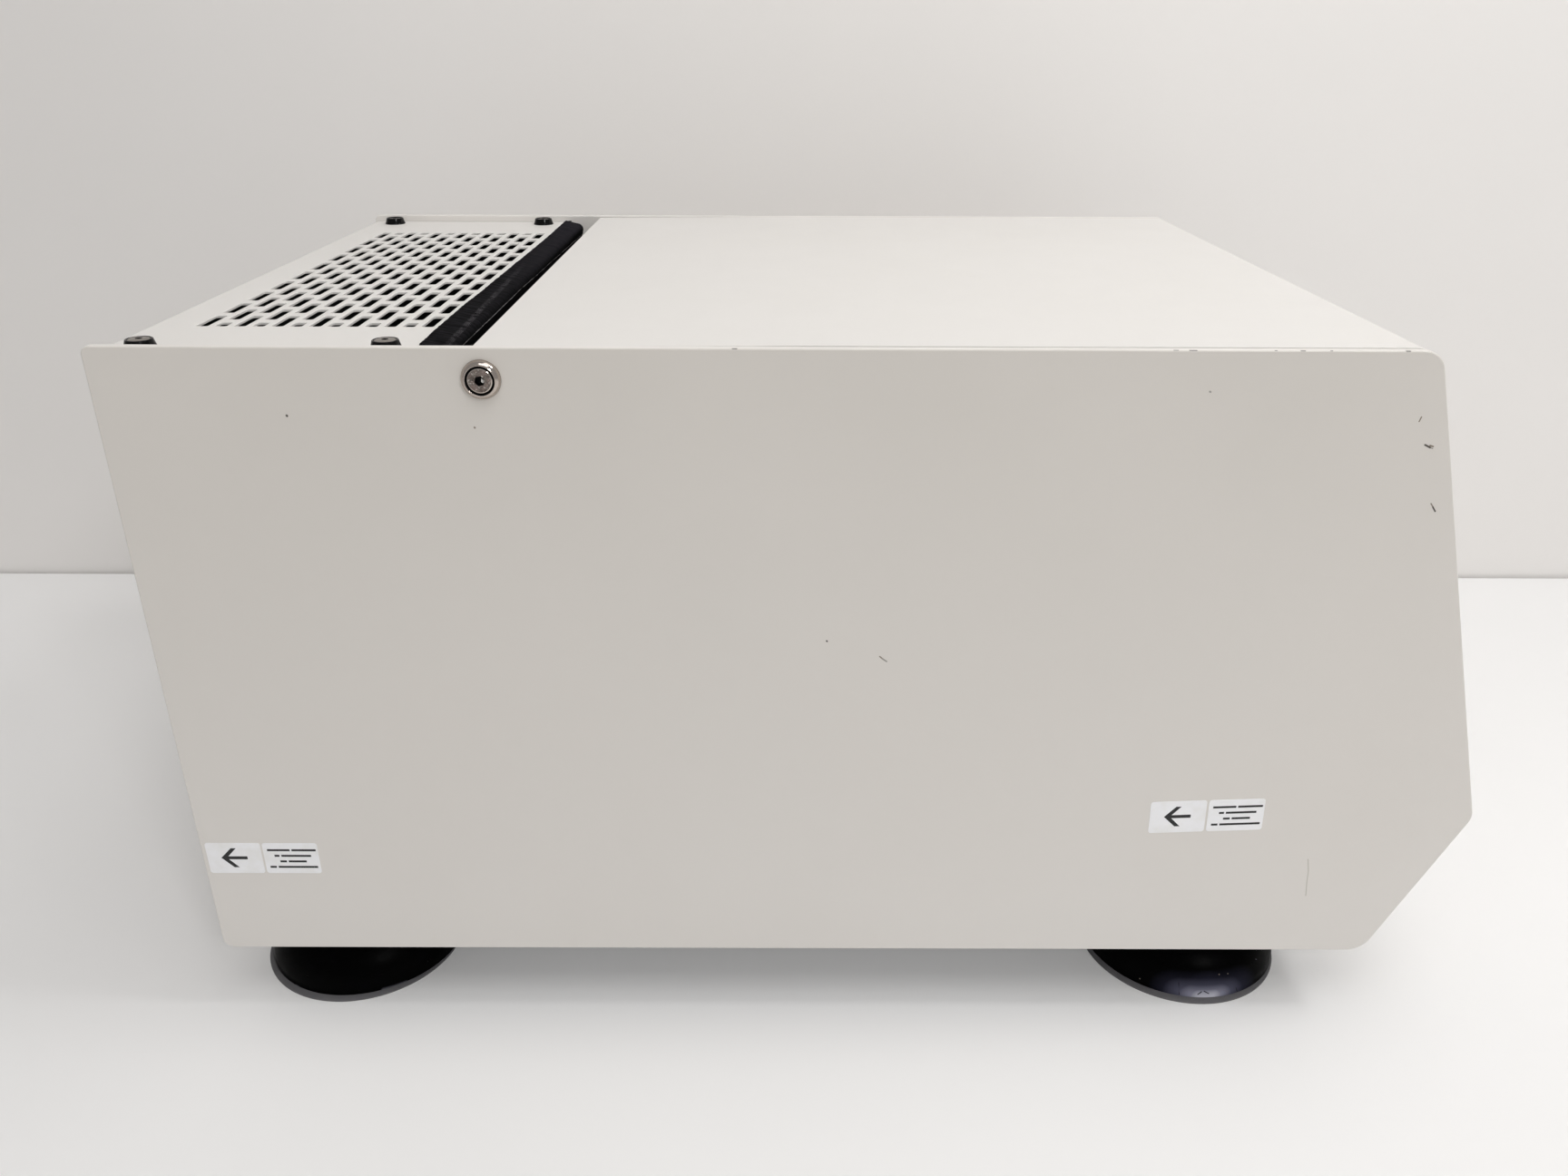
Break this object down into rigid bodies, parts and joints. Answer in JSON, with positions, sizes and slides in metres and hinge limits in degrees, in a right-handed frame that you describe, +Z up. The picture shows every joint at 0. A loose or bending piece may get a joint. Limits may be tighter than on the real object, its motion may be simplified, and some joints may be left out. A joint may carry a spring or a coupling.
{
  "type": "benchtop centrifuge",
  "caption": "Free-standing benchtop centrifuge: hinged flat lid over a steel chamber, swing-out rotor with hanging buckets, perforated rear cover, sloping control front and rubber dome feet.",
  "frame": {"origin": "centre of the footprint on the table, under the middle of the bounding box", "axes": "+Z up, the control front faces -Y, the hinge and the rear cover are towards +Y, +X is to the right seen from the front"},
  "size_m": [0.448, 0.6933, 0.39],
  "materials": {
    "side_paint": "fine satin powder coat, warm off-white",
    "top_paint": "satin paint, warm off-white",
    "zinc_sheet": "zinc-plated sheet",
    "bowl_steel": "brushed stainless steel",
    "turned_steel": "turned stainless steel",
    "screw_steel": "dull stainless steel",
    "cast_aluminium": "machined aluminium",
    "black_plastic": "black moulded plastic",
    "liner_plastic": "light grey moulded plastic",
    "display": "dark smoked window",
    "key_green": "green key",
    "key_red": "red key",
    "key_grey": "grey key",
    "circuit_board": "green laminate",
    "rubber": "black rubber",
    "foot_rubber": "glossy black rubber",
    "seal_cloth": "black woven cloth over foam",
    "label_white": "white label film with black print"
  },
  "bodies": {
    "body": {"left_side_panel": "side_paint", "right_side_panel": "side_paint", "base_pan": "zinc_sheet", "front_panel": "top_paint", "rear_panel": "top_paint", "rear_top_cover": "top_paint", "cover_rail_left": "zinc_sheet", "cover_rail_right": "zinc_sheet", "cover_washer_1": "black_plastic", "cover_washer_2": "black_plastic", "cover_washer_3": "black_plastic", "cover_washer_4": "black_plastic", "cover_screw_1": "screw_steel", "cover_screw_2": "screw_steel", "cover_screw_3": "screw_steel", "cover_screw_4": "screw_steel", "hinge_gap_seal": "seal_cloth", "hinge_shaft": "turned_steel", "hinge_bolt_left": "screw_steel", "hinge_bolt_right": "screw_steel", "hinge_washer_left": "turned_steel", "hinge_washer_right": "turned_steel", "deck_plate": "top_paint", "chamber_bowl": "bowl_steel", "chamber_gasket": "rubber", "guard_ring": "zinc_sheet", "latch_body": "black_plastic", "motor_plate": "zinc_sheet", "motor_mount_1": "rubber", "motor_mount_2": "rubber", "motor_mount_3": "rubber", "motor_housing": "cast_aluminium", "display_window": "display", "control_board": "circuit_board", "fan_frame": "black_plastic", "mains_inlet": "black_plastic", "motor_drive": "cast_aluminium", "foot_1": "foot_rubber", "foot_2": "foot_rubber", "foot_3": "foot_rubber", "foot_4": "foot_rubber"},
    "lid": {"lid_shell": "top_paint", "lid_liner": "liner_plastic", "lid_striker": "turned_steel", "hinge_knuckle_left": "cast_aluminium", "hinge_knuckle_right": "cast_aluminium"},
    "rotor": {"drive_shaft": "turned_steel", "rotor_head": "cast_aluminium", "rotor_nut": "cast_aluminium"},
    "bucket_1": {"bucket_1": "cast_aluminium"},
    "bucket_2": {"bucket_2": "cast_aluminium"},
    "bucket_3": {"bucket_3": "cast_aluminium"},
    "bucket_4": {"bucket_4": "cast_aluminium"},
    "latch_bolt": {"latch_bolt": "turned_steel"},
    "start_button": {"start_button": "key_green"},
    "stop_button": {"stop_button": "key_red"},
    "lid_button": {"lid_button": "key_grey"},
    "selector_knob": {"selector_knob": "black_plastic"},
    "mains_rocker": {"mains_rocker": "black_plastic"},
    "fan": {"fan_impeller": "black_plastic"}
  },
  "joints": [
    {"name": "lid_hinge", "type": "hinge", "parent": "body", "child": "lid", "pos_m": [0, 0.1662, 0.3755], "axis": [-1, 0, 0], "range_deg": [0, 78]},
    {"name": "rotor_spin", "type": "hinge", "parent": "body", "child": "rotor", "pos_m": [0, -0.052, 0.272], "axis": [0, 0, 1], "continuous": true},
    {"name": "bucket_1_swing", "type": "hinge", "parent": "rotor", "child": "bucket_1", "pos_m": [0.085, -0.052, 0.272], "axis": [0, -1, 0], "range_deg": [0, 90]},
    {"name": "bucket_2_swing", "type": "hinge", "parent": "rotor", "child": "bucket_2", "pos_m": [0, 0.033, 0.272], "axis": [1, 0, 0], "range_deg": [0, 90]},
    {"name": "bucket_3_swing", "type": "hinge", "parent": "rotor", "child": "bucket_3", "pos_m": [-0.085, -0.052, 0.272], "axis": [0, 1, 0], "range_deg": [0, 90]},
    {"name": "bucket_4_swing", "type": "hinge", "parent": "rotor", "child": "bucket_4", "pos_m": [0, -0.137, 0.272], "axis": [-1, 0, 0], "range_deg": [0, 90]},
    {"name": "latch_bolt_slide", "type": "slide", "parent": "body", "child": "latch_bolt", "axis": [1, 0, 0], "range_m": [0, 0.016]},
    {"name": "start_press", "type": "slide", "parent": "body", "child": "start_button", "axis": [0, 0.9592, -0.2829], "range_m": [0, 0.0015], "stiffness_N_per_m": 400, "springref_m": -0.002},
    {"name": "stop_press", "type": "slide", "parent": "body", "child": "stop_button", "axis": [0, 0.9592, -0.2829], "range_m": [0, 0.0015], "stiffness_N_per_m": 400, "springref_m": -0.002},
    {"name": "lid_button_press", "type": "slide", "parent": "body", "child": "lid_button", "axis": [0, 0.9592, -0.2829], "range_m": [0, 0.0015], "stiffness_N_per_m": 400, "springref_m": -0.002},
    {"name": "knob_turn", "type": "hinge", "parent": "body", "child": "selector_knob", "pos_m": [0.056, -0.30573, 0.27073], "axis": [0, -0.9592, 0.2829], "continuous": true},
    {"name": "rocker_tip", "type": "hinge", "parent": "body", "child": "mains_rocker", "pos_m": [-0.15, 0.3377, 0.13], "axis": [-1, 0, 0], "range_deg": [0, 20]},
    {"name": "fan_spin", "type": "hinge", "parent": "body", "child": "fan", "pos_m": [0.09, 0.325, 0.235], "axis": [0, 1, 0], "continuous": true}
  ]
}
